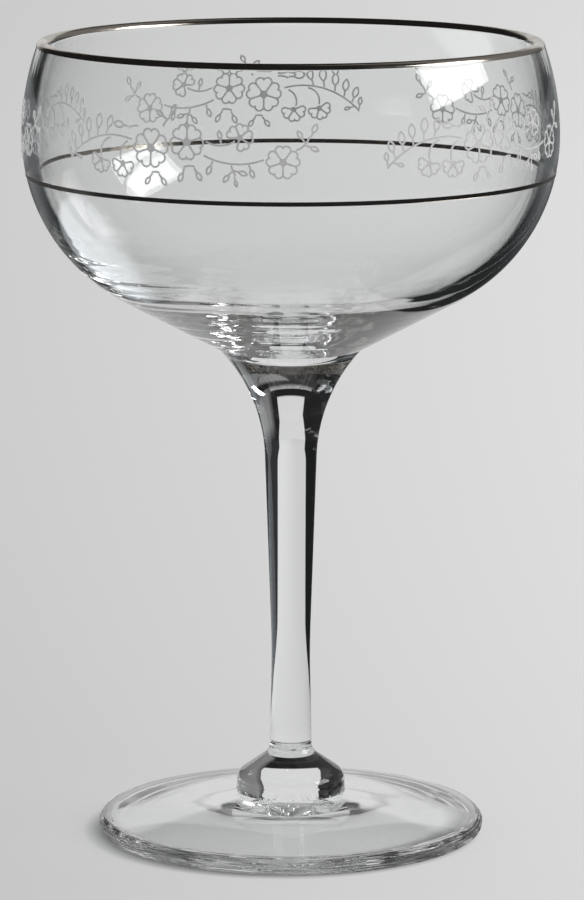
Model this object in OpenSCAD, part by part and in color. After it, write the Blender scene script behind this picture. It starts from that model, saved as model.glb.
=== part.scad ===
// A tall sherbet glass. A thin bowl is welded to a drawn stem, the stem to a button-shaped knop
// and the knop to a round foot. A metal line runs over the rim and a second one round the bowl,
// with frosted sprays of flowers between them.

/* [Overall] */
// Height from the table to the top of the rim
glass_h = 140; // [134:0.5:148]

/* [Bowl] */
// Diameter at the belly, the widest place
belly_d = 93.1; // [88:0.1:98]
// Drop from the rim to the belly
belly_drop = 16.5; // [14:0.5:19]
// Radius of the curve from the belly down to the cone
shoulder_r = 32; // [29:0.5:35]
// Slope of the cone outside, from level, in degrees
cone_slope = 28; // [25:0.5:31]
// Slope of the cone inside, less than outside where the wall grows thicker towards the bottom
inner_slope = 24; // [22:0.5:26]
// Wall at the rim
rim_wall = 2.1; // [1.6:0.1:2.4]
// Wall where the cone begins
cone_wall = 2.6; // [2:0.1:3.2]
// Radius of the rounded bottom inside the bowl
well_r = 20; // [16:0.5:24]

/* [Stem] */
// Diameter of the weld under the bowl
neck_d = 25.2; // [22:0.2:29]
// Radius of the flare below that weld
flare_r = 29; // [24:0.5:34]
// Taper of the stem above its waist, each side, in degrees
stem_taper = 2; // [1:0.1:2.6]
// Diameter at the waist
waist_d = 6.7; // [5.6:0.1:8]
// Height of the waist above the table
waist_z = 33; // [28:0.5:40]
// Radius that eases the waist
waist_ease = 150; // [80:5:200]
// Diameter where the stem's side would meet the knop without the rounding between them
ankle_d = 7.5; // [6.8:0.1:8.6]
// Rounding between the stem and the knop
ankle_round = 2.6; // [1.5:0.1:3.2]

/* [Knop] */
// Diameter of the knop
knop_d = 19; // [16.5:0.1:22]
// Height of the knop from the foot to the stem
knop_h = 7.2; // [6.8:0.1:8.6]
// Slope of the knop's upper side from level, in degrees
knop_slope = 35; // [31:0.5:38]
// Rounding of the knop's shoulder
knop_round = 2.5; // [1.5:0.1:3]

/* [Foot] */
// Diameter of the foot
foot_d = 67.8; // [60:0.2:76]
// Height of the foot under the knop
foot_h = 7.2; // [5.8:0.1:9]
// Thickness of the rounded edge
edge_t = 3.4; // [2.6:0.1:4.2]
// Width of the ring that the glass stands on
ring_w = 3.5; // [2:0.1:6]
// Depth of the hollow under the foot
hollow_h = 3.6; // [2.4:0.1:4.2]

/* [Metal lines] */
// Height of the line over the rim
rim_line_h = 0.9; // [0.5:0.05:1.6]
// Drop from the rim to the middle of the line round the bowl
line_drop = 22.8; // [22:0.1:26]
// Height of the line round the bowl
line_h = 0.75; // [0.4:0.05:1.5]
// Thickness of the metal
metal_t = 0.06; // [0.03:0.01:0.15]

/* [Flower sprays] */
// Number of sprays
sprays = 5; // [3:1:5]
// Length of one spray along the bowl
spray_l = 48; // [40:0.5:50]
// Turn of the first spray's middle round the glass, in degrees
spray_turn = -113.7; // [-180:0.1:180]
// Drop from the rim to the middle of the sprays
spray_drop = 13.4; // [11:0.1:14]
// Width of the drawn lines
line_w = 0.32; // [0.24:0.02:0.32]
// Space between a stem and the stalk of a leaf on it
stalk_gap = 0.08; // [0.05:0.01:0.12]
// Thickness of the frosted enamel
frost_t = 0.08; // [0.04:0.01:0.15]

/* [Hidden] */
$fn = 144;
// How far a straight run is set into the curve that it meets, so that the two cross cleanly
lap = 0.002;
// How far two such shapes reach past each other
overlap = 1;
// Space between the glass and the metal or enamel on it
seat = 0.01;

belly_r = belly_d / 2;
belly_z = glass_h - belly_drop;

// The inside of the bowl, at its belly and its shoulder
inner_belly_r = belly_r - rim_wall;
inner_shoulder_r = (shoulder_r - cone_wall - (shoulder_r - rim_wall) * sin(cone_slope))
  / (1 - sin(cone_slope));

// The outside of the bowl ends in a cap that the cone runs into at the weld
neck_r = neck_d / 2;
cap_r = neck_r / sin(cone_slope);
cap_z = bottom_z(belly_r, shoulder_r, cap_r, cone_slope);
neck_z = cap_z - cap_r * cos(cone_slope);

// The rim is a round bead at the end of the wall
bead_r = rim_wall / 2 + lap;
bead_reach = belly_r - rim_wall / 2 - lap;
bead_tilt = asin((belly_drop - bead_r) / bead_reach);

foot_r = foot_d / 2;
edge_r = edge_t / 2;
ring_r = foot_r - edge_r - ring_w;
hollow_r = (pow(ring_r, 2) + pow(hollow_h, 2)) / (2 * hollow_h);

knop_r = knop_d / 2;
knop_top = foot_h + knop_h;
knop_out = [sin(knop_slope), cos(knop_slope)];

// The stem below its waist, and the round between it and the knop, which touches both
waist = [waist_d / 2, waist_z];
ankle = [ankle_d / 2, knop_top];
down = (ankle - waist) / norm(ankle - waist);
down_out = [-down.y, down.x];
ankle_ease = ankle_round - lap;
ankle_c = ankle + ankle_ease * (down_out + knop_out) / (1 + down_out * knop_out);

// One spray, laid out flat from its middle, to the right and up, as it is when it is 48 long.
layout_l = 48;
spray_scale = spray_l / layout_l;
// Blossoms: place, diameter, turn and number of petals, of which five go round.
BLOSSOMS = [
  [-4.9, -0.7, 6.8, 90, 5],
  [1.7, 0.6, 6.2, 54, 5],
  [10.8, 1.6, 4.8, 40, 4],
  [18.0, -2.4, 5.8, 18, 5],
  [-15.3, -3.3, 4.6, 250, 3],
  [-10.5, -3.6, 4.8, 265, 3]
];
petal_turn = 72;
// A blossom's dot as a share of its diameter, and the turn of a petal's lobes as a share of a petal's
dot_share = 0.11;
lobe_share = 0.22;
// A leaf's stalk and width as shares of its length
stalk_share = 0.26;
leaf_share = 0.42;
// Stems and tendrils: middle of the circle that the line follows, its radius, its two ends and its
// leaves. Each leaf has its place along the line, the side of the line, which is 1 away from the
// middle of the circle, its length, and its direction from the one away from that middle.
TWIGS = [
  [-12.4, -13.2, 14.2, 75, 139, [
    [137.5, 1, 2.4, -38],
    [130, 1, 3.2, -18],
    [122.5, 1, 3.4, -22],
    [114.5, 1, 3.6, -20],
    [106, 1, 3.8, -22],
    [97.5, 1, 3.4, -26],
    [133, -1, 2.0, 210]
  ]],
  [-8.0, 0, 2.8, 80, 122, [[121, 1, 3.2, 52]]],
  [-12.9, -1.9, 2.45, 97, 196, []],
  [-8.6, -2.1, 2.45, 112, 200, []],
  [0.3, 1.9, 3.2, 125, 160, [[125.6, 1, 2.4, -66], [137, 1, 2.4, 8]]],
  [-4.0, -7.5, 2.9, 75, 105, [[104, -1, 2.4, 130], [76, -1, 2.4, 230]]],
  [2.4, -6.2, 2.9, 75, 115, [[114, -1, 2.6, 132], [76, -1, 2.6, 226]]],
  [7.4, 4.9, 4.7, 240, 304, [[274, -1, 2.4, 188]]],
  [10.4, 9.8, 12.6, 243, 291, [[251, 1, 2.6, -4], [279, 1, 2.4, 12]]],
  [13.0, -2.5, 3.6, 188, 218, [[217, 1, 1.9, 66], [203, 1, 2.4, 30], [204, -1, 2.4, 140]]],
  [19.3, 2.6, 3.1, 285, 345, [[344, 1, 2.6, 80], [318, 1, 2.4, 20], [322, -1, 2.4, 160]]]
];

glass_tint = [0.87, 0.90, 0.91, 0.45];
metal_tint = [0.55, 0.54, 0.52];
frost_tint = [0.82, 0.83, 0.83];

// Height of the centre of the ball, of radius r, that ends the cone below a shoulder
function bottom_z(belly, shoulder, r, slope) =
  belly_z - (shoulder - r + (belly - shoulder) * sin(slope)) / cos(slope);

// A distance along the bowl as degrees round the middle of its belly
function turn_of(distance) = distance / belly_r * 180 / PI;

// The strip between two heights, out from the axis
module strip(low, high, out = belly_d) {
  translate([0, low])
    square([out, high - low]);
}

// The part of a round that lies between two heights, out from the axis
module round_zone(centre, r, low, high) {
  intersection() {
    translate(centre)
      circle(r);
    strip(low, high);
  }
}

// Half of the outline inside a bowl's surface: a ball above the belly, a shoulder, a cone and a ball
module vessel(belly, shoulder, bottom, slope) {
  out = [sin(slope), -cos(slope)];
  shoulder_c = [belly - shoulder, belly_z];
  bottom_c = [0, bottom_z(belly, shoulder, bottom, slope)];
  cone_top = shoulder_c + (shoulder - lap) * out;
  cone_end = bottom_c + (bottom - lap) * out;
  round_zone([0, belly_z], belly - lap, belly_z, glass_h);
  round_zone(shoulder_c, shoulder, cone_top.y - overlap, belly_z + overlap);
  polygon([[0, cone_end.y], cone_end, cone_top, shoulder_c, [0, belly_z]]);
  round_zone(bottom_c, bottom, bottom_c.y - bottom - overlap, cone_end.y + overlap);
}

// The round bead at the rim, made thicker by a given amount
module bead(grow) {
  translate([bead_reach * cos(bead_tilt), belly_z + bead_reach * sin(bead_tilt)])
    circle(bead_r + grow);
}

// What lies below the middle of the bead, square to the wall
module below_bead(low) {
  polygon([
    [0, low],
    [belly_d, low],
    [belly_d, belly_z + belly_d * tan(bead_tilt)],
    [0, belly_z]
  ]);
}

module bowl() {
  color(glass_tint)
    rotate_extrude() {
      bead(0);
      difference() {
        intersection() {
          vessel(belly_r, shoulder_r, cap_r, cone_slope);
          below_bead(0);
        }
        vessel(inner_belly_r, inner_shoulder_r, well_r, inner_slope);
      }
    }
}

// The inside of the round between stem and knop, between two heights
module ankle_zone(low, high) {
  difference() {
    strip(low, high, ankle_c.x);
    translate(ankle_c)
      circle(ankle_round);
  }
}

// Half of the stem's outline: two tapers eased at the waist, and a flare up to the weld
module stem_outline() {
  up = [sin(stem_taper), cos(stem_taper)];
  up_out = [up.y, -up.x];
  ease = waist_ease - lap;
  ease_c = waist + ease * (up_out + down_out) / (1 + up_out * down_out);
  // The flare touches the upper taper and ends at the weld
  to_neck = [neck_r, neck_z] - waist - (flare_r - lap) * up_out;
  along = up * to_neck - sqrt(pow(up * to_neck, 2) - to_neck * to_neck + pow(flare_r, 2));
  flare_c = waist + (flare_r - lap) * up_out + along * up;
  taper_end = waist + (neck_z - waist_z) / up.y * up;

  polygon([[0, knop_top], ankle, waist, taper_end, [0, neck_z]]);
  ankle_zone(knop_top, ankle_c.y - ankle_ease * down_out.y);
  difference() {
    strip(ease_c.y - ease * down_out.y, ease_c.y - ease * up_out.y, ease_c.x);
    translate(ease_c)
      circle(waist_ease);
  }
  difference() {
    strip(flare_c.y - flare_r * up_out.y, neck_z + cone_wall, flare_c.x);
    translate(flare_c)
      circle(flare_r);
  }
}

module stem() {
  color(glass_tint)
    rotate_extrude()
      difference() {
        stem_outline();
        translate([0, cap_z])
          circle(cap_r);
      }
}

module knop() {
  round_c = [
    knop_r - knop_round,
    knop_top - (knop_round + (knop_r - knop_round - ankle.x) * knop_out.x) / knop_out.y
  ];
  color(glass_tint)
    rotate_extrude() {
      polygon([
        [0, foot_h],
        [knop_r - lap, foot_h],
        [knop_r - lap, round_c.y],
        round_c,
        round_c + (knop_round - lap) * knop_out,
        ankle,
        [0, knop_top]
      ]);
      ankle_zone(ankle_c.y - ankle_ease * knop_out.y, knop_top);
      round_zone(round_c, knop_round, max(foot_h, round_c.y - overlap), knop_top);
    }
}

module foot() {
  edge_c = [foot_r - edge_r, edge_r - lap];
  reach = edge_c - [knop_r, foot_h];
  slope = atan(-reach.y / reach.x) - asin(edge_r / norm(reach));
  color(glass_tint)
    rotate_extrude()
      difference() {
        intersection() {
          strip(0, foot_h, foot_r);
          union() {
            polygon([
              [0, 0],
              [edge_c.x, 0],
              edge_c,
              edge_c + (edge_r - lap) * [sin(slope), cos(slope)],
              [knop_r, foot_h],
              [0, foot_h]
            ]);
            translate(edge_c)
              circle(edge_r);
          }
        }
        translate([0, hollow_h - hollow_r])
          circle(hollow_r);
      }
}

// The end of the wall with its bead, made thicker all round by a given amount
module rim_end(grow) {
  bead(grow);
  difference() {
    intersection() {
      translate([0, belly_z])
        circle(belly_r - lap + grow);
      below_bead(belly_z);
    }
    translate([0, belly_z])
      circle(inner_belly_r - lap - grow);
  }
}

module rim_line() {
  color(metal_tint)
    rotate_extrude()
      intersection() {
        difference() {
          rim_end(seat + metal_t);
          rim_end(seat);
        }
        strip(glass_h - rim_line_h, glass_h + belly_r);
      }
}

module bowl_line() {
  middle_z = glass_h - line_drop;
  color(metal_tint)
    rotate_extrude()
      intersection() {
        translate([belly_r - shoulder_r, belly_z])
          difference() {
            circle(shoulder_r + seat + metal_t);
            circle(shoulder_r + seat);
          }
        translate([belly_r - shoulder_r, 0])
          strip(middle_z - line_h / 2, middle_z + line_h / 2);
      }
}

// Turns a shape that faces up so that it faces out from the middle of the belly
module facing_out(right, up) {
  rise = asin((belly_drop - spray_drop) / belly_r) + turn_of(up * spray_scale);
  rotate([0, -rise, turn_of(right * spray_scale)])
    rotate([90, 0, 90])
      children();
}

// A flat flake of enamel on the bowl, straight above its middle
module flake() {
  translate([0, 0, belly_r + seat])
    linear_extrude(frost_t)
      children();
}

// A line of enamel along a circle on the bowl
module tendril(radius, start, end) {
  corners = [[0, -1], [0, 1], [frost_t, 1], [frost_t, -1]];
  rotate(start)
    rotate_extrude(angle = end - start)
      polygon([
        for (c = corners)
          let (a = turn_of(radius + c.y * line_w / 2))
            (belly_r + seat + c.x) * [sin(a), cos(a)]
      ]);
}

// A heart-shaped petal that reaches out from the middle of a blossom, made smaller all round
module petal(reach, shrink) {
  half = petal_turn / 2;
  lobe_turn = petal_turn * lobe_share;
  lobe_at = reach / (1 + sin(half - lobe_turn));
  lobe_r = reach - lobe_at - shrink;
  lobe_c = lobe_at * [cos(lobe_turn), sin(lobe_turn)];
  side = lobe_c + (lobe_r - lap) * [-sin(half), cos(half)];
  polygon([
    [shrink / sin(half), 0],
    side,
    lobe_c,
    [lobe_c.x, -lobe_c.y],
    [side.x, -side.y]
  ]);
  for (y = [-lobe_c.y, lobe_c.y])
    translate([lobe_c.x, y])
      circle(lobe_r);
}

// Petals in outline round a dot
module blossom(diameter, petals) {
  reach = diameter / 2 - line_w / 2;
  turns = [for (i = [1:petals]) (i - (petals + 1) / 2) * petal_turn];
  difference() {
    for (turn = turns)
      rotate(turn)
        petal(reach, -line_w / 2);
    for (turn = turns)
      rotate(turn)
        petal(reach, line_w / 2);
  }
  circle(diameter * dot_share);
}

// A pointed leaf in outline on a short stalk
module leaf(length) {
  stalk = length * stalk_share;
  blade = length - stalk;
  width = length * leaf_share;
  side_r = (pow(blade, 2) + pow(width, 2)) / (4 * width);
  translate([stalk + blade / 2, 0])
    difference() {
      leaf_blade(side_r, side_r - width / 2);
      leaf_blade(side_r - line_w, side_r - width / 2);
    }
  translate([0, -line_w / 2])
    square([stalk + line_w, line_w]);
}

module leaf_blade(side_r, apart) {
  intersection_for (side = [-apart, apart])
    translate([0, side])
      circle(side_r);
}

module flower_spray(number) {
  color(frost_tint)
    translate([0, 0, belly_z])
      rotate(spray_turn + (number - 1) * 360 / sprays) {
        for (b = BLOSSOMS)
          facing_out(b[0], b[1])
            flake()
              rotate(b[3])
                blossom(b[2] * spray_scale, b[4]);
        for (t = TWIGS)
          facing_out(t[0], t[1]) {
            tendril(t[2] * spray_scale, t[3], t[4]);
            for (l = t[5])
              rotate([0, turn_of(t[2] * spray_scale + l[1] * (line_w / 2 + stalk_gap)), l[0]])
                flake()
                  rotate(l[3])
                    leaf(l[2] * spray_scale);
          }
      }
}

bowl();
stem();
knop();
foot();
rim_line();
bowl_line();
for (i = [1:sprays])
  flower_spray(i);
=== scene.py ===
"""Looks for the sherbet glass: clear welded glass, fired metal lines, frosted flower sprays."""
import math

import bmesh
import bpy
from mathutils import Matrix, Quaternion, Vector


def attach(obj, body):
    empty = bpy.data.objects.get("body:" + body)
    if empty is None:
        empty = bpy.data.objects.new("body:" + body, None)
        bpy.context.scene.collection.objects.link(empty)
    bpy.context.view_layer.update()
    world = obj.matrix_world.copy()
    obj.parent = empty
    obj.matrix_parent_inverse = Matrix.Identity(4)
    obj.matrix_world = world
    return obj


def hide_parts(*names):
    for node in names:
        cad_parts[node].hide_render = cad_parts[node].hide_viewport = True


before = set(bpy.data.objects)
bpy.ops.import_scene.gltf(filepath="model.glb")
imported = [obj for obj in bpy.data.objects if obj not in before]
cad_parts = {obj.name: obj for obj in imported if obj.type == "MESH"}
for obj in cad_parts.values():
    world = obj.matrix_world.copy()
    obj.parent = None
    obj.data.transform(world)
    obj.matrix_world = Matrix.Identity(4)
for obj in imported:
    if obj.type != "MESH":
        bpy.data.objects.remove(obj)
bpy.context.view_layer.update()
scene = bpy.context.scene

MM = 0.001

# Sizes in millimetres and slopes in degrees, the same as in the part's source
GLASS_H = 140.0
BELLY_R = 46.55
BELLY_DROP = 16.5
SHOULDER_R = 32.0
CONE_SLOPE = 28.0
INNER_SLOPE = 24.0
RIM_WALL = 2.1
CONE_WALL = 2.6
WELL_R = 20.0
NECK_R = 12.6
FLARE_R = 29.0
STEM_TAPER = 2.0
WAIST_R = 3.35
WAIST_Z = 33.0
WAIST_EASE = 150.0
ANKLE_R = 3.75
ANKLE_ROUND = 2.6
KNOP_R = 9.5
KNOP_H = 7.2
KNOP_SLOPE = 35.0
KNOP_ROUND = 2.5
FOOT_R = 33.9
FOOT_H = 7.2
EDGE_R = 1.7
HOLLOW_H = 3.6
RIM_LINE_H = 0.9
LINE_DROP = 22.8
LINE_H = 0.75
METAL_T = 0.06
SEAT = 0.01

# Sizes of the looks alone: the ring under the foot is narrower than in the solids, because the
# photo shows no wide one through the foot, and a thin lens of air stays between knop and foot
RING_W = 1.0
SEAM = 0.05

# How finely the round pieces are cut: steps in one turn, and lengths along their profiles
TURNS = 232
STEP = 0.6
FINE_STEP = 0.29
FLAT_STEP = 1.0
SEAM_STEP = 0.5
ROUND_STEP = 0.12
BEAD_STEP = 0.1
RIM_LINE_STEP = 0.06

# Marks of the tools. Each wave that wanders round is (height, waves in one turn, start), and each
# finer wave that slides along another one is (pitch, start, sway, sways in one turn).
FINER_SHARE = 0.6
RING_H = 0.034
RING_L = 4.6
RING_FULL_Z = 102.0
RING_END_Z = 110.0
RING_FADE_R = 4.0
RING_SIDE = 1.5
RING_WANDER = ((0.9, 2, 0.5), (0.5, 5, 2.0))
RING_FINER = (2.05, 1.0, 0.6, 3)
CRINKLE_H = 0.09
CRINKLE_TOP = 1.3
CRINKLE_IN = 1.0
CRINKLES = ((1.0, 23, 0.0), (0.8, 41, 1.3), (0.7, 67, 0.0), (0.5, 101, 0.0))
CRINKLE_LEANS = (0.0, 0.0, 4.0, -3.0)
EDGE_MARK_H = 0.03
EDGE_MARK_L = 0.85
EDGE_MARK_IN = 32.2
EDGE_MARK_FADE = 0.5
EDGE_MARK_LOW = 0.3
EDGE_WANDER = ((1.6, 2, 1.0), (0.9, 5, 0.0), (0.6, 11, 2.0))
EDGE_FINER = (1.7, 0.0, 2.0, 4)

# Materials. A ramp is (low, high, result at low, result at high), and a grain is (scale, detail).
GLASS_TINT = (0.985, 0.992, 0.99, 1)
GLASS_SHADOW = (0.64, 0.65, 0.66, 1)
GLASS_WAVE = 0.6
BOWL_WAVE = (38.0, 0.00006)
STEM_WAVE = (70.0, 0.00005)
SMUDGES = (90.0, 4.0)
SMUDGE_ROUGHNESS = (0.45, 0.75, 0.0, 0.03)
METAL_TINT = (0.60, 0.55, 0.48, 1)
METAL_WORN = (0.46, 0.42, 0.37, 1)
METAL_PATCHES = (160.0, 4.0)
METAL_WEAR = (0.35, 0.7, 0, 1)
METAL_ROUGHNESS = (0.3, 0.75, 0.12, 0.3)
METAL_GRAIN = (2400.0, 2.0)
METAL_BUMP = (0.25, 0.00002)
FROST_TINT = (0.78, 0.78, 0.77, 1)
FROST_PALE = (0.88, 0.88, 0.87, 1)
FROST_CLOUDS = (420.0, 3.0)
FROST_CLOUDING = (0.3, 0.7, 0, 1)
FROST_GRAIN = (3200.0, 3.0)
FROST_ROUGHNESS = (0.3, 0.7, 0.55, 0.8)
FROST_BUMP = (0.5, 0.00003)

# The floor and the room look pale to the camera. Seen through the glass or mirrored in it, only a
# strip of paper is pale, which runs from front to back and sweeps up behind, and the room beside
# it is dark. Lengths are in metres, pairs are for left and right, and widths that grow with the
# distance are shares of it.
PAPER = (0.07, 0.066)
SPREAD = (0.31, 0.24)
SIDE_TURN = 85.0
SIDE_SOFT = 0.06
SWEEP = (0.4, 0.31)
SWEEP_NARROWS = (0.75, 0.45)
SWEEP_LEAST = 0.25
SWEEP_MIRRORED = 0.4
SWEEP_RISE = 23.5
SWEEP_SOFT = 0.03
PALE = 0.705
ROOM_FILL = 0.28
ROOM_DARK = 0.015
ROOM_RIGHT = 0.22
ROOM_RIGHT_FROM = 0.45
ROOM_RIGHT_SOFT = 0.08
ROOM_RIGHT_LOW = 0.1
ROOM_RIGHT_RISE = 0.14
ROOM_BEHIND = 0.1
AHEAD_LEAST = 0.001
MIRROR = (0.055, 0.041)
MIRROR_SPREAD = 0.1
PAPER_FRONT = -0.028
PAPER_FRONT_SOFT = 0.003
# Painted shade on the floor round the foot, in spots, that only mirrored rays see
DIM_RING = (0.024, 0.05)
DIM_SOFT = (0.002, 0.003)
DIM_GRAIN = (160.0, 1.0)
DIM_SPOTS = (0.46, 0.54, 0.15, 0.95)
DARK = (0.012, 0.034)
DARK_TINT = (0.9, 0.96, 1, 1)
MIRRORED_DARK = (0.2, 0.5, 0.02, 0.12)
# A painted pool of light on the dark floor at the left, standing in for the bowl's caustic; only
# mirrored rays see it
CAUSTIC_SPOT = (-0.18, 0.1)
CAUSTIC_SPOT_R = (0.12, 0.1)
CAUSTIC_SPOT_EDGE = (0.7, 1.1, 1, 0)
CAUSTIC_SPOT_LIGHT = 1.1
FLOOR_R = 6.0
FLOOR_SIDES = 96
FLOOR_TINT = (0.40, 0.40, 0.40, 1)
WHITE = (1, 1, 1, 1)
CAMERA_BACK = 0.861
TURN_BACK = 0.618
TURN_RATE = -2.0
# The paper's glow is painted light, added to the lamp's real light: lighter to the right and
# towards the camera, and a little lighter through the glass
GLOW_ACROSS = (-0.06, 0.06, 0.352, 0.458)
GLOW_AWAY = (0.55, 1.21, 0.114, 0.035)
THROUGH_BOOST = 0.045
# A painted shadow on the paper: a dark ring where the foot stands, shifted to the left, away from
# the lamp
SHADE_LEFT = 0.0016
SHADE_R = 0.0318
SHADE = (0.0, 0.0035, 0.05, 1)

# The lamp, at an angle to the right of the camera's side of the glass
KEY_TURN = 80.3
KEY_RISE = 26.0
KEY_AWAY = 1.686
KEY_SIZE = (0.966, 0.705)
KEY_ROLL = 5.9
KEY_RADIANCE = 6.0
KEY_AIM = Vector((0, 0, 0.1))

CAMERA = Vector((0.000207, -0.86145, 0.22081))
TARGET = Vector((0.000207, 0.0, 0.06811))
SENSOR_H = 36.0
LENS = 199.94

BOUNCES = 96
CLEAR_BOUNCES = 32


def sind(a):
    return math.sin(math.radians(a))


def cosd(a):
    return math.cos(math.radians(a))


def bottom_z(belly, shoulder, ball, slope):
    """Height of the centre of the ball that ends the cone below a shoulder."""
    return BELLY_Z - (shoulder - ball + (belly - shoulder) * sind(slope)) / cosd(slope)


BELLY_Z = GLASS_H - BELLY_DROP
INNER_BELLY_R = BELLY_R - RIM_WALL
INNER_SHOULDER_R = (
    SHOULDER_R - CONE_WALL - (SHOULDER_R - RIM_WALL) * sind(CONE_SLOPE)
) / (1 - sind(CONE_SLOPE))
CAP_R = NECK_R / sind(CONE_SLOPE)
CAP_Z = bottom_z(BELLY_R, SHOULDER_R, CAP_R, CONE_SLOPE)
WELL_Z = bottom_z(INNER_BELLY_R, INNER_SHOULDER_R, WELL_R, INNER_SLOPE)
NECK_Z = CAP_Z - CAP_R * cosd(CONE_SLOPE)
BEAD_R = RIM_WALL / 2
BEAD_REACH = BELLY_R - BEAD_R
BEAD_TILT = math.degrees(math.asin((BELLY_DROP - BEAD_R) / BEAD_REACH))
KNOP_TOP = FOOT_H + KNOP_H


def arc(centre, r, start, end, step=STEP):
    """Points along a circle, between angles in degrees from the outward direction."""
    n = max(4, math.ceil(abs(math.radians(end - start)) * r / step))
    angles = [start + (end - start) * i / n for i in range(n + 1)]
    return [(centre[0] + r * cosd(a), centre[1] + r * sind(a)) for a in angles]


def line(a, b, step=STEP):
    n = max(1, math.ceil(math.dist(a, b) / step))
    return [(a[0] + (b[0] - a[0]) * i / n, a[1] + (b[1] - a[1]) * i / n) for i in range(n + 1)]


def chain(*runs):
    """One run of points out of several that meet end to end."""
    points = list(runs[0])
    for run in runs[1:]:
        points += run[1:]
    return points


def vessel(belly, shoulder, ball, slope, step=STEP):
    """The side of the bowl from the end of the cone up to the bead."""
    low = slope - 90
    shoulder_c = (belly - shoulder, BELLY_Z)
    ball_c = (0, bottom_z(belly, shoulder, ball, slope))
    cone_top = (shoulder_c[0] + shoulder * cosd(low), shoulder_c[1] + shoulder * sind(low))
    cone_end = (ball * cosd(low), ball_c[1] + ball * sind(low))
    return chain(
        line(cone_end, cone_top, step),
        arc(shoulder_c, shoulder, low, 0, step),
        arc((0, BELLY_Z), belly, 0, BEAD_TILT),
    )


def limited(value):
    return min(max(value, 0), 1)


def wander(a, waves):
    """The sum of some waves at an angle round the axis."""
    return sum(height * math.sin(count * a + start) for height, count, start in waves)


def double_wave(phase, a, finer):
    """A wave and a finer one that slides along it on its way round."""
    pitch, start, sway, sways = finer
    slide = start + sway * math.sin(sways * a)
    return math.sin(phase) + FINER_SHARE * math.sin(pitch * phase + slide)


def ring_places(points):
    """Where the rings lie on a profile: each point's inward normal, way along and share."""
    places = {}
    run = 0.0
    for before, here, after in zip(points, points[1:], points[2:]):
        run += math.dist(before, here)
        dx, dz = after[0] - before[0], after[1] - before[1]
        size = math.hypot(dx, dz)
        share = limited((RING_END_Z - here[1]) / (RING_END_Z - RING_FULL_Z))
        share *= min(here[0] / RING_FADE_R, 1)
        if share > 0:
            places[here] = (-dz / size, dx / size, run, share)
    return places


def revolve(name, runs, materials, shift=None):
    """A closed round piece. Each run is (points, material number); runs meet in sharp edges."""
    mesh = bmesh.new()
    rings = []
    numbers = []
    sharp = []
    for k, (points, number) in enumerate(runs):
        for i, (r, z) in enumerate(points):
            if k and i == 0:
                sharp.append(len(rings) - 1)
                continue
            if i or k:
                numbers.append(number)
            if r < 1e-6:
                rings.append([mesh.verts.new((0, 0, z * MM))])
                continue
            ring = []
            for t in range(TURNS):
                a = 2 * math.pi * t / TURNS
                dr, dz = shift(r, z, a) if shift else (0, 0)
                out = (r + dr) * MM
                place = (out * math.cos(a), out * math.sin(a), (z + dz) * MM)
                ring.append(mesh.verts.new(place))
            rings.append(ring)
    pairs = list(zip(rings, rings[1:], numbers))
    if len(rings[0]) > 1:
        pairs.append((rings[-1], rings[0], numbers[-1]))
    for a, b, number in pairs:
        for t in range(TURNS):
            u = (t + 1) % TURNS
            if len(a) == 1:
                corners = (a[0], b[t], b[u])
            elif len(b) == 1:
                corners = (a[t], a[u], b[0])
            else:
                corners = (a[t], a[u], b[u], b[t])
            face = mesh.faces.new(corners)
            face.smooth = True
            face.material_index = number
    for k in sharp:
        ring = rings[k]
        for t in range(len(ring)):
            edge = mesh.edges.get((ring[t], ring[(t + 1) % len(ring)]))
            if edge:
                edge.smooth = False
    bmesh.ops.recalc_face_normals(mesh, faces=mesh.faces)
    data = bpy.data.meshes.new(name)
    mesh.to_mesh(data)
    mesh.free()
    for m in materials:
        data.materials.append(m)
    piece = bpy.data.objects.new(name, data)
    scene.collection.objects.link(piece)
    return piece


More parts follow.
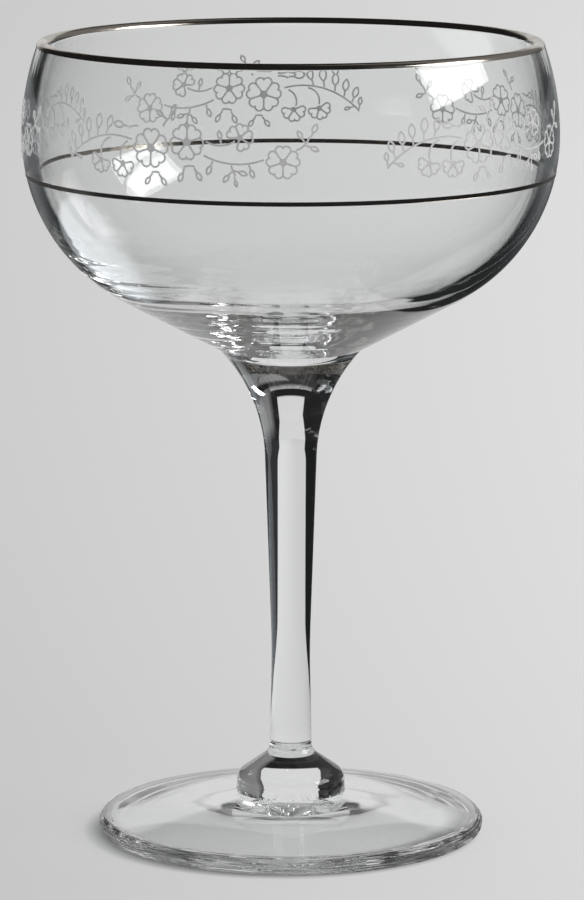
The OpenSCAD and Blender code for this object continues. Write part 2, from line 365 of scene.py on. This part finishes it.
class Nodes:
    """A node tree with short calls to add and join nodes."""

    def __init__(self, owner):
        owner.use_nodes = True
        self.tree = owner.node_tree
        self.tree.nodes.clear()

    def add(self, kind, **settings):
        node = self.tree.nodes.new(kind)
        for key, value in settings.items():
            setattr(node, key, value)
        return node

    def put(self, node, **values):
        """Sets or links inputs by their names, or by their numbers as i0, i1 and so on."""
        for key, value in values.items():
            if key[0] == "i" and key[1:].isdigit():
                socket = node.inputs[int(key[1:])]
            else:
                socket = node.inputs[key.replace("_", " ")]
            if hasattr(value, "is_output"):
                self.tree.links.new(value, socket)
            else:
                socket.default_value = value
        return node

    def math(self, operation, a, b=0.0):
        return self.put(self.add("ShaderNodeMath", operation=operation), i0=a, i1=b).outputs[0]

    def squares(self, a, b):
        """The sum of two squares."""
        return self.math("ADD", self.math("MULTIPLY", a, a), self.math("MULTIPLY", b, b))

    def noise(self, vector, scale, detail=2.0):
        node = self.add("ShaderNodeTexNoise")
        return self.put(node, Vector=vector, Scale=scale, Detail=detail).outputs[0]

    def ramp(self, value, low, high, out_low, out_high):
        node = self.add("ShaderNodeMapRange")
        self.put(node, Value=value, From_Min=low, From_Max=high)
        return self.put(node, To_Min=out_low, To_Max=out_high).outputs[0]

    def above(self, value, limit, soft):
        """0 below a limit and 1 above it, with a soft edge."""
        return self.ramp(value, limit - soft, limit + soft, 0, 1)

    def below(self, value, limit, soft):
        """1 below a limit and 0 above it, with a soft edge."""
        return self.ramp(value, limit - soft, limit + soft, 1, 0)

    def past(self, value, limit, soft=0.02):
        """0 below a limit that may vary and 1 above it. The soft edge is a share of the limit."""
        return self.above(self.math("DIVIDE", value, limit), 1, soft)

    def by_side(self, right, pair):
        """The first of a pair at the left and the second at the right."""
        return self.ramp(right, 0, 1, *pair)

    def blend(self, share, a, b):
        node = self.add("ShaderNodeMix", data_type="FLOAT")
        return self.put(node, i0=share, i2=a, i3=b).outputs[0]

    def tint(self, share, a, b):
        node = self.add("ShaderNodeMix", data_type="RGBA")
        return self.put(node, i0=share, i6=a, i7=b).outputs[2]

    def bump(self, height, strength, distance):
        node = self.add("ShaderNodeBump")
        return self.put(node, Height=height, Strength=strength, Distance=distance).outputs[0]

    def shader(self, kind, **values):
        return self.put(self.add(kind), **values).outputs[0]

    def split(self, vector):
        return self.put(self.add("ShaderNodeSeparateXYZ"), i0=vector).outputs

    def place(self, kind="Object"):
        return self.add("ShaderNodeTexCoord").outputs[kind]

    def path(self):
        return self.add("ShaderNodeLightPath").outputs

    def finish(self, shader, kind="ShaderNodeOutputMaterial"):
        self.tree.links.new(shader, self.add(kind).inputs["Surface"])


def glass(name, wave_scale, wave_height):
    """Clear glass with faint waves and smudges. Its shadow is pale, because lamp rays pass."""
    material = bpy.data.materials.new(name)
    n = Nodes(material)
    place = n.place()
    clear = n.shader(
        "ShaderNodeBsdfPrincipled",
        Base_Color=GLASS_TINT,
        Roughness=n.ramp(n.noise(place, *SMUDGES), *SMUDGE_ROUGHNESS),
        IOR=1.5,
        Transmission_Weight=1.0,
        Normal=n.bump(n.noise(place, wave_scale), GLASS_WAVE, wave_height),
    )
    shadow = n.shader("ShaderNodeBsdfTransparent", Color=GLASS_SHADOW)
    is_shadow = n.path()["Is Shadow Ray"]
    n.finish(n.shader("ShaderNodeMixShader", i0=is_shadow, i1=clear, i2=shadow))
    return material


def weld(name):
    """Where two pieces of glass have run together and nothing is left to see."""
    material = bpy.data.materials.new(name)
    n = Nodes(material)
    n.finish(n.shader("ShaderNodeBsdfTransparent"))
    return material


def metal(name):
    """A fired metal film, bright where it is thick and a little worn in patches."""
    material = bpy.data.materials.new(name)
    n = Nodes(material)
    place = n.place()
    patches = n.noise(place, *METAL_PATCHES)
    film = n.shader(
        "ShaderNodeBsdfPrincipled",
        Base_Color=n.tint(n.ramp(patches, *METAL_WEAR), METAL_TINT, METAL_WORN),
        Metallic=1.0,
        Roughness=n.ramp(patches, *METAL_ROUGHNESS),
        Normal=n.bump(n.noise(place, *METAL_GRAIN), *METAL_BUMP),
    )
    n.finish(film)
    return material


def frost(name):
    """Matt white enamel, thin enough to let some light through."""
    material = bpy.data.materials.new(name)
    n = Nodes(material)
    place = n.place()
    grain = n.noise(place, *FROST_GRAIN)
    clouds = n.noise(place, *FROST_CLOUDS)
    enamel = n.shader(
        "ShaderNodeBsdfPrincipled",
        Base_Color=n.tint(n.ramp(clouds, *FROST_CLOUDING), FROST_TINT, FROST_PALE),
        Subsurface_Weight=0.7,
        Subsurface_Radius=(1, 1, 1),
        Subsurface_Scale=0.0006,
        Roughness=n.ramp(grain, *FROST_ROUGHNESS),
        Normal=n.bump(grain, *FROST_BUMP),
    )
    n.finish(enamel)
    return material


bowl_glass = glass("bowl_glass", *BOWL_WAVE)
stem_glass = glass("stem_glass", *STEM_WAVE)
welded = weld("weld")
bright_metal = metal("bright_metal")
frosted = frost("frosted_enamel")

# The bowl, its bottom cap welded to the stem
cap = arc((0, CAP_Z), CAP_R, -90, CONE_SLOPE - 90)
outer = vessel(BELLY_R, SHOULDER_R, CAP_R, CONE_SLOPE)
bead_c = (BEAD_REACH * cosd(BEAD_TILT), BELLY_Z + BEAD_REACH * sind(BEAD_TILT))
bead = arc(bead_c, BEAD_R, BEAD_TILT, BEAD_TILT + 180, BEAD_STEP)
well = arc((0, WELL_Z), WELL_R, -90, INNER_SLOPE - 90, FINE_STEP)
inner_side = vessel(INNER_BELLY_R, INNER_SHOULDER_R, WELL_R, INNER_SLOPE, FINE_STEP)
inner = chain(well, inner_side)
ring_at = ring_places(inner)


def ring_marks(r, z, a):
    """Faint rings inside the bowl that wander on their way round and are strongest at the left."""
    if (r, z) not in ring_at:
        return 0, 0
    out, rise, run, share = ring_at[r, z]
    phase = 2 * math.pi * run / RING_L + wander(a, RING_WANDER)
    left = ((1 - math.cos(a)) / 2) ** RING_SIDE
    lift = RING_H * share * double_wave(phase, a, RING_FINER) * left
    return out * lift, rise * lift


bowl = revolve(
    "bowl_glass",
    [(cap, 1), (chain(outer, bead, inner[::-1]), 0)],
    [bowl_glass, welded],
    ring_marks,
)

# The stem, cupped under the bowl. Its flare meets the upper taper, which an easing joins to the
# lower one, and a rounding leads over to the knop.
up = (sind(STEM_TAPER), cosd(STEM_TAPER))
up_out = (up[1], -up[0])
waist = (WAIST_R, WAIST_Z)
ankle = (ANKLE_R, KNOP_TOP)
reach = (NECK_R - waist[0] - FLARE_R * up_out[0], NECK_Z - waist[1] - FLARE_R * up_out[1])
dot = up[0] * reach[0] + up[1] * reach[1]
along = dot - math.sqrt(dot ** 2 - reach[0] ** 2 - reach[1] ** 2 + FLARE_R ** 2)
flare_c = (
    waist[0] + FLARE_R * up_out[0] + along * up[0],
    waist[1] + FLARE_R * up_out[1] + along * up[1],
)
flare_top = math.degrees(math.atan2(NECK_Z - flare_c[1], NECK_R - flare_c[0]))
flare = arc(flare_c, FLARE_R, flare_top, 180 - STEM_TAPER)
down_tilt = math.degrees(math.asin((ANKLE_R - WAIST_R) / math.dist(waist, ankle)))
ease_x = WAIST_R + WAIST_EASE / cosd((STEM_TAPER + down_tilt) / 2)
ease_c = (ease_x, WAIST_Z + (ease_x - WAIST_R) * sind((down_tilt - STEM_TAPER) / 2))
ease = arc(ease_c, WAIST_EASE, 180 - STEM_TAPER, 180 + down_tilt)
down_out = (cosd(down_tilt), sind(down_tilt))
knop_out = (sind(KNOP_SLOPE), cosd(KNOP_SLOPE))
spread = ANKLE_ROUND / (1 + down_out[0] * knop_out[0] + down_out[1] * knop_out[1])
ankle_c = (
    ANKLE_R + spread * (down_out[0] + knop_out[0]),
    KNOP_TOP + spread * (down_out[1] + knop_out[1]),
)
joint_a = 180 + math.degrees(math.asin((ankle_c[1] - KNOP_TOP) / ANKLE_ROUND))
ankle_up = arc(ankle_c, ANKLE_ROUND, 180 + down_tilt, joint_a, ROUND_STEP)
ankle_down = arc(ankle_c, ANKLE_ROUND, joint_a, 270 - KNOP_SLOPE, ROUND_STEP)
joint = ankle_up[-1]
stem_side = chain(
    flare,
    line(flare[-1], ease[0], FLAT_STEP),
    ease,
    line(ease[-1], ankle_up[0], FLAT_STEP),
    ankle_up,
)
stem = revolve(
    "stem_glass",
    [(cap, 1), (stem_side, 0), (line(joint, (0, KNOP_TOP), FLAT_STEP), 1)],
    [stem_glass, welded],
)

# The knop, its lower edge crinkled where it was pressed to the foot
round_drop = KNOP_ROUND + (KNOP_R - KNOP_ROUND - ANKLE_R) * sind(KNOP_SLOPE)
round_c = (KNOP_R - KNOP_ROUND, KNOP_TOP - round_drop / cosd(KNOP_SLOPE))
knop_round = arc(round_c, KNOP_ROUND, 90 - KNOP_SLOPE, 0, ROUND_STEP)
knop_low = (KNOP_R, FOOT_H)
knop_side = chain(
    ankle_down,
    line(ankle_down[-1], knop_round[0]),
    knop_round,
    line(knop_round[-1], knop_low, ROUND_STEP),
)


def crinkle(r, z, a):
    """Small folds round the knop's lower edge, some of which lean."""
    share = limited((FOOT_H + CRINKLE_TOP - z) / CRINKLE_TOP) * (r > KNOP_R - CRINKLE_IN)
    waves = [
        (height, count, start + lean * z)
        for (height, count, start), lean in zip(CRINKLES, CRINKLE_LEANS)
    ]
    return CRINKLE_H * share * wander(a, waves), 0


knop = revolve(
    "knop_glass",
    [
        (line((0, KNOP_TOP), joint, FLAT_STEP), 1),
        (knop_side, 0),
        (line(knop_low, (0, FOOT_H + SEAM), SEAM_STEP), 0),
    ],
    [stem_glass, welded],
    crinkle,
)

# The foot
edge_c = (FOOT_R - EDGE_R, EDGE_R)
dx, dz = edge_c[0] - KNOP_R, edge_c[1] - FOOT_H
slope = math.degrees(math.atan2(-dz, dx) - math.asin(EDGE_R / math.hypot(dx, dz)))
foot_edge = arc(edge_c, EDGE_R, 90 - slope, -90, ROUND_STEP)
ring_r = FOOT_R - EDGE_R - RING_W
hollow_r = (ring_r ** 2 + HOLLOW_H ** 2) / (2 * HOLLOW_H)
hollow_half = math.degrees(math.asin(ring_r / hollow_r))
foot_side = chain(line(knop_low, foot_edge[0], FINE_STEP), foot_edge)


def edge_marks(r, z, a):
    """Fine lines round the foot's edge, left by the tool that turned it."""
    if r < EDGE_MARK_IN or z < EDGE_MARK_LOW:
        return 0, 0
    across, rise = r - edge_c[0], z - edge_c[1]
    turn = math.atan2(across, rise) if across > 0 else 0.0
    way = turn * EDGE_R if across > 0 else across
    share = min((r - EDGE_MARK_IN) / EDGE_MARK_FADE, 1)
    phase = 2 * math.pi * way / EDGE_MARK_L + wander(a, EDGE_WANDER)
    lift = EDGE_MARK_H * share * double_wave(phase, a, EDGE_FINER)
    return math.sin(turn) * lift, math.cos(turn) * lift


foot = revolve(
    "foot_glass",
    [
        (line((0, FOOT_H - SEAM), knop_low, SEAM_STEP), 0),
        (foot_side, 0),
        (line(foot_edge[-1], (ring_r, 0), FLAT_STEP), 0),
        (arc((0, HOLLOW_H - hollow_r), hollow_r, 90 - hollow_half, 90), 0),
    ],
    [stem_glass],
    edge_marks,
)


# The metal lines
def rim_arc(radius):
    """Over the bead, from the lower edge of the rim line outside to the one inside."""
    low = math.degrees(math.asin((GLASS_H - RIM_LINE_H - bead_c[1]) / radius))
    return arc(bead_c, radius, low, 180 - low, RIM_LINE_STEP)


def line_arc(radius):
    """Up the shoulder, from the lower edge of the bowl line to the upper one."""
    middle = BELLY_DROP - LINE_DROP
    low, high = (
        math.degrees(math.asin(z / radius)) for z in (middle - LINE_H / 2, middle + LINE_H / 2)
    )
    return arc((BELLY_R - SHOULDER_R, BELLY_Z), radius, low, high, BEAD_STEP)


def film(name, outside, inside):
    """A thin closed ring out of its outside and its inside."""
    runs = [outside, line(outside[-1], inside[0]), inside, line(inside[-1], outside[0])]
    return revolve(name, [(run, 0) for run in runs], [bright_metal])


film_t = SEAT + METAL_T
rim_line = film("rim_line_metal", rim_arc(BEAD_R + film_t), rim_arc(BEAD_R + SEAT)[::-1])
bowl_line = film(
    "bowl_line_metal", line_arc(SHOULDER_R + film_t), line_arc(SHOULDER_R + SEAT)[::-1]
)

for piece, node, slot in (
    (bowl, "bowl", "clear_glass"),
    (stem, "stem", "clear_glass"),
    (knop, "knop", "clear_glass"),
    (foot, "foot", "clear_glass"),
    (rim_line, "rim_line", "bright_metal"),
    (bowl_line, "bowl_line", "bright_metal"),
):
    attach(piece, "root")
    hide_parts(node)

for name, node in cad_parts.items():
    if name.startswith("flower_spray"):
        node.data.materials.clear()
        node.data.materials.append(frosted)


def through_shade(n, x, y, right):
    """Where the floor is dark to rays through the glass: beside the paper, but not in front."""
    spread = n.math("MULTIPLY", n.math("MAXIMUM", y, 0.0), n.by_side(right, SPREAD))
    edge = n.math("ADD", spread, n.by_side(right, PAPER))
    sweep = n.math("MULTIPLY", y, n.by_side(right, SWEEP))
    beside = n.past(n.math("ABSOLUTE", x), n.math("MAXIMUM", edge, sweep))
    turn = n.math("ABSOLUTE", n.math("ARCTAN2", x, y))
    near = n.math("SUBTRACT", 1.0, n.past(turn, math.radians(SIDE_TURN), SIDE_SOFT))
    return n.math("MULTIPLY", beside, near)


def mirrored_shade(n, x, y, right, reach, place):
    """Where it is dark to mirrored rays: beside a narrower strip, in front, and in spots of
    painted shade round the foot.
    """
    spread = n.math("MULTIPLY", n.math("MAXIMUM", y, 0.0), MIRROR_SPREAD)
    beside = n.past(n.math("ABSOLUTE", x), n.math("ADD", spread, n.by_side(right, MIRROR)))
    in_front = n.below(y, PAPER_FRONT, PAPER_FRONT_SOFT)
    shade_spots = n.ramp(n.noise(place, *DIM_GRAIN), *DIM_SPOTS)
    out_of = n.above(reach, DIM_RING[0], DIM_SOFT[0])
    within = n.below(reach, DIM_RING[1], DIM_SOFT[1])
    ring = n.math("MULTIPLY", n.math("MULTIPLY", out_of, shade_spots), within)
    return n.math("MAXIMUM", n.math("MAXIMUM", beside, in_front), ring)


def painted_glow_and_shadow(n, x, y, reach, through):
    """How bright the paper glows: painted light, lighter to the right and towards the camera, with
    a painted shadow in a ring where the foot stands on it.
    """
    turned = n.math("ADD", n.math("MULTIPLY", y, TURN_RATE), TURN_BACK)
    away = n.math("MAXIMUM", n.math("ADD", y, CAMERA_BACK), turned)
    across = n.ramp(n.math("DIVIDE", x, away), *GLOW_ACROSS)
    glow = n.math("ADD", across, n.ramp(n.math("DIVIDE", 1.0, away), *GLOW_AWAY))
    glow = n.math("ADD", glow, n.math("MULTIPLY", through, THROUGH_BOOST))
    # A painted shadow: darker in a ring round the foot's edge, shifted to the left
    off_ring = n.math("ABSOLUTE", n.math("SUBTRACT", reach, SHADE_R))
    return n.math("MULTIPLY", glow, n.ramp(off_ring, *SHADE))


def dark_level(n, x, y, right, mirrored):
    """How bright the dark floor is. To mirrored rays it has a painted pool of light at the left, a
    painted caustic of the bowl.
    """
    caustic_x = n.math("DIVIDE", n.math("SUBTRACT", x, CAUSTIC_SPOT[0]), CAUSTIC_SPOT_R[0])
    caustic_y = n.math("DIVIDE", n.math("SUBTRACT", y, CAUSTIC_SPOT[1]), CAUSTIC_SPOT_R[1])
    painted_caustic = n.ramp(n.squares(caustic_x, caustic_y), *CAUSTIC_SPOT_EDGE)
    room = n.blend(painted_caustic, n.ramp(y, *MIRRORED_DARK), CAUSTIC_SPOT_LIGHT)
    return n.blend(mirrored, n.by_side(right, DARK), room)


def floor_paper(name):
    """Pale paper, and the dark floor beside it that only the glass shows."""
    material = bpy.data.materials.new(name)
    n = Nodes(material)
    place = n.place()
    x, y, _ = n.split(place)
    right = n.math("GREATER_THAN", x, 0.0)
    reach = n.math("SQRT", n.squares(n.math("ADD", x, SHADE_LEFT), y))
    path = n.path()
    through = path["Is Transmission Ray"]
    mirrored = n.math("MINIMUM", path["Glossy Depth"], 1.0)
    shade_through = n.math("MULTIPLY", through_shade(n, x, y, right), through)
    shade_mirrored = mirrored_shade(n, x, y, right, reach, place)
    shade = n.math("MAXIMUM", shade_through, n.math("MULTIPLY", shade_mirrored, mirrored))
    paper = n.shader("ShaderNodeBsdfDiffuse", Color=FLOOR_TINT)
    glow_level = painted_glow_and_shadow(n, x, y, reach, through)
    glow = n.shader("ShaderNodeEmission", Color=WHITE, Strength=glow_level)
    pale = n.shader("ShaderNodeAddShader", i0=paper, i1=glow)
    level = dark_level(n, x, y, right, mirrored)
    dark = n.shader("ShaderNodeEmission", Color=DARK_TINT, Strength=level)
    n.finish(n.shader("ShaderNodeMixShader", i0=shade, i1=pale, i2=dark))
    return material


floor_mesh = bmesh.new()
bmesh.ops.create_circle(floor_mesh, cap_ends=True, segments=FLOOR_SIDES, radius=FLOOR_R)
floor_data = bpy.data.meshes.new("floor")
floor_mesh.to_mesh(floor_data)
floor_mesh.free()
floor = bpy.data.objects.new("floor", floor_data)
scene.collection.objects.link(floor)
floor.data.materials.append(floor_paper("floor_paper"))


def room_light(name):
    """The room: the paper's sweep behind the glass, and darkness beside and above it."""
    world = bpy.data.worlds.new(name)
    n = Nodes(world)
    x, y, z = n.split(n.place("Generated"))
    ahead = n.math("MAXIMUM", y, AHEAD_LEAST)
    across = n.math("DIVIDE", x, ahead)
    right = n.math("GREATER_THAN", across, 0.0)
    rise = n.math("DIVIDE", n.math("MAXIMUM", z, 0.0), ahead)
    narrower = n.math("MULTIPLY", rise, n.by_side(right, SWEEP_NARROWS))
    narrowed = n.math("SUBTRACT", n.by_side(right, SWEEP), narrower)
    path = n.path()
    mirrored = n.math("MINIMUM", path["Glossy Depth"], 1.0)
    half = n.blend(mirrored, n.math("MAXIMUM", narrowed, SWEEP_LEAST), SWEEP_MIRRORED)
    beside = n.past(n.math("ABSOLUTE", across), half)
    over = n.past(z, sind(SWEEP_RISE), SWEEP_SOFT)
    far_right = n.above(across, ROOM_RIGHT_FROM, ROOM_RIGHT_SOFT)
    behind = n.ramp(y, 0.0, ROOM_BEHIND, 0, 1)
    off_floor = n.ramp(z, 0.0, ROOM_RIGHT_RISE, ROOM_RIGHT_LOW, 1)
    grey = n.math("MULTIPLY", n.math("MULTIPLY", far_right, behind), off_floor)
    dark = n.ramp(grey, 0, 1, ROOM_DARK, ROOM_RIGHT)
    in_glass = n.blend(n.math("MAXIMUM", beside, over), PALE, dark)
    bare = n.blend(path["Is Camera Ray"], ROOM_FILL, PALE)
    by_glass = n.math("MAXIMUM", path["Is Transmission Ray"], path["Is Glossy Ray"])
    level = n.blend(by_glass, bare, in_glass)
    light = n.shader("ShaderNodeBackground", Color=WHITE, Strength=level)
    n.finish(light, "ShaderNodeOutputWorld")
    return world


scene.world = room_light("room")

lamp = bpy.data.lights.new("key", "AREA")
lamp.shape = "RECTANGLE"
lamp.size, lamp.size_y = KEY_SIZE
lamp.energy = KEY_RADIANCE * math.pi * KEY_SIZE[0] * KEY_SIZE[1]
key = bpy.data.objects.new("key", lamp)
scene.collection.objects.link(key)
key_flat = KEY_AWAY * cosd(KEY_RISE)
key.location = KEY_AIM + Vector(
    (key_flat * sind(KEY_TURN), -key_flat * cosd(KEY_TURN), KEY_AWAY * sind(KEY_RISE))
)
facing = (KEY_AIM - key.location).to_track_quat("-Z", "Y")
key.rotation_euler = (facing @ Quaternion((0, 0, 1), math.radians(KEY_ROLL))).to_euler()
key.visible_camera = False

camera_data = bpy.data.cameras.new("camera")
camera_data.sensor_fit = "VERTICAL"
camera_data.sensor_height = SENSOR_H
camera_data.lens = LENS
camera = bpy.data.objects.new("camera", camera_data)
scene.collection.objects.link(camera)
camera.location = CAMERA
camera.rotation_euler = (TARGET - CAMERA).to_track_quat("-Z", "Y").to_euler()
scene.camera = camera

scene.view_settings.view_transform = "Standard"
scene.cycles.max_bounces = BOUNCES
scene.cycles.transmission_bounces = BOUNCES
scene.cycles.glossy_bounces = BOUNCES
scene.cycles.transparent_max_bounces = CLEAR_BOUNCES
